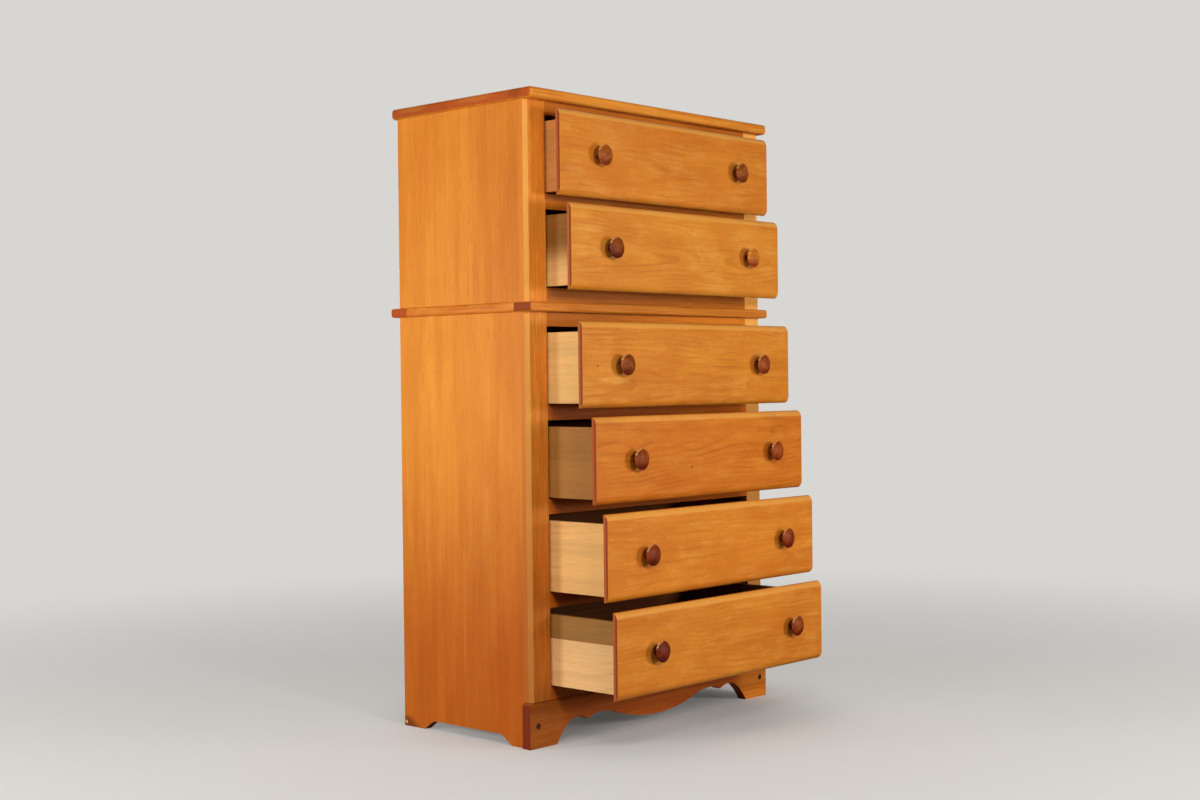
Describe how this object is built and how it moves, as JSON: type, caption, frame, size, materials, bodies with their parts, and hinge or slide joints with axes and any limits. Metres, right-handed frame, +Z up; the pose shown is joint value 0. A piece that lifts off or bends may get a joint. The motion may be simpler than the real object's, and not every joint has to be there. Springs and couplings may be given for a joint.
{
  "type": "chest on chest",
  "caption": "Tall maple chest on chest: a small case of drawers on a larger one, lipped fronts with turned knobs, on a scroll-cut bracket base; each drawer slides.",
  "frame": {"origin": "on the floor, under the middle of the box that the chest fills with its drawers open as they stand at rest", "axes": "+X to the right seen from the front, +Y to the back, +Z up; the drawers open towards -Y"},
  "size_m": [0.774, 0.6274, 1.32],
  "materials": {
    "maple_case": "amber stain under satin varnish",
    "maple_front": "amber stain under satin varnish",
    "box_wood": "bare planed wood",
    "inner_wood": "bare sawn wood",
    "plain_panel": "bare plywood",
    "turned_walnut": "dark stain under satin varnish",
    "dark_plug": "dark stain"
  },
  "bodies": {
    "case": {"apron_plugs": "dark_plug", "base_apron": "maple_case", "cleats": "inner_wood", "glue_blocks": "inner_wood", "lower_back_panel": "plain_panel", "lower_back_rails": "inner_wood", "lower_front_rails": "maple_case", "lower_left_side": "maple_case", "lower_left_stile": "maple_case", "lower_right_side": "maple_case", "lower_right_stile": "maple_case", "lower_runners": "inner_wood", "top_board": "maple_case", "upper_back_panel": "plain_panel", "upper_back_rails": "inner_wood", "upper_front_rails": "maple_case", "upper_left_side": "maple_case", "upper_left_stile": "maple_case", "upper_right_side": "maple_case", "upper_right_stile": "maple_case", "upper_runners": "inner_wood", "waist_front_rail": "maple_case", "waist_rear_rail": "maple_case", "waist_side_rails": "maple_case"},
    "drawer_1": {"drawer_1_back": "box_wood", "drawer_1_bottom": "plain_panel", "drawer_1_front": "maple_front", "drawer_1_knobs": "turned_walnut", "drawer_1_left_side": "box_wood", "drawer_1_right_side": "box_wood"},
    "drawer_2": {"drawer_2_back": "box_wood", "drawer_2_bottom": "plain_panel", "drawer_2_front": "maple_front", "drawer_2_knobs": "turned_walnut", "drawer_2_left_side": "box_wood", "drawer_2_right_side": "box_wood"},
    "drawer_3": {"drawer_3_back": "box_wood", "drawer_3_bottom": "plain_panel", "drawer_3_front": "maple_front", "drawer_3_knobs": "turned_walnut", "drawer_3_left_side": "box_wood", "drawer_3_right_side": "box_wood"},
    "drawer_4": {"drawer_4_back": "box_wood", "drawer_4_bottom": "plain_panel", "drawer_4_front": "maple_front", "drawer_4_knobs": "turned_walnut", "drawer_4_left_side": "box_wood", "drawer_4_right_side": "box_wood"},
    "drawer_5": {"drawer_5_back": "box_wood", "drawer_5_bottom": "plain_panel", "drawer_5_front": "maple_front", "drawer_5_knobs": "turned_walnut", "drawer_5_left_side": "box_wood", "drawer_5_right_side": "box_wood"},
    "drawer_6": {"drawer_6_back": "box_wood", "drawer_6_bottom": "plain_panel", "drawer_6_front": "maple_front", "drawer_6_knobs": "turned_walnut", "drawer_6_left_side": "box_wood", "drawer_6_right_side": "box_wood"}
  },
  "joints": [
    {"name": "drawer_1_slide", "type": "slide", "parent": "case", "child": "drawer_1", "axis": [0, -1, 0], "range_m": [-0.044, 0.2457]},
    {"name": "drawer_2_slide", "type": "slide", "parent": "case", "child": "drawer_2", "axis": [0, -1, 0], "range_m": [-0.0727, 0.217]},
    {"name": "drawer_3_slide", "type": "slide", "parent": "case", "child": "drawer_3", "axis": [0, -1, 0], "range_m": [-0.0991, 0.1906]},
    {"name": "drawer_4_slide", "type": "slide", "parent": "case", "child": "drawer_4", "axis": [0, -1, 0], "range_m": [-0.1333, 0.1564]},
    {"name": "drawer_5_slide", "type": "slide", "parent": "case", "child": "drawer_5", "axis": [0, -1, 0], "range_m": [-0.1609, 0.1288]},
    {"name": "drawer_6_slide", "type": "slide", "parent": "case", "child": "drawer_6", "axis": [0, -1, 0], "range_m": [-0.1832, 0.1065]}
  ]
}
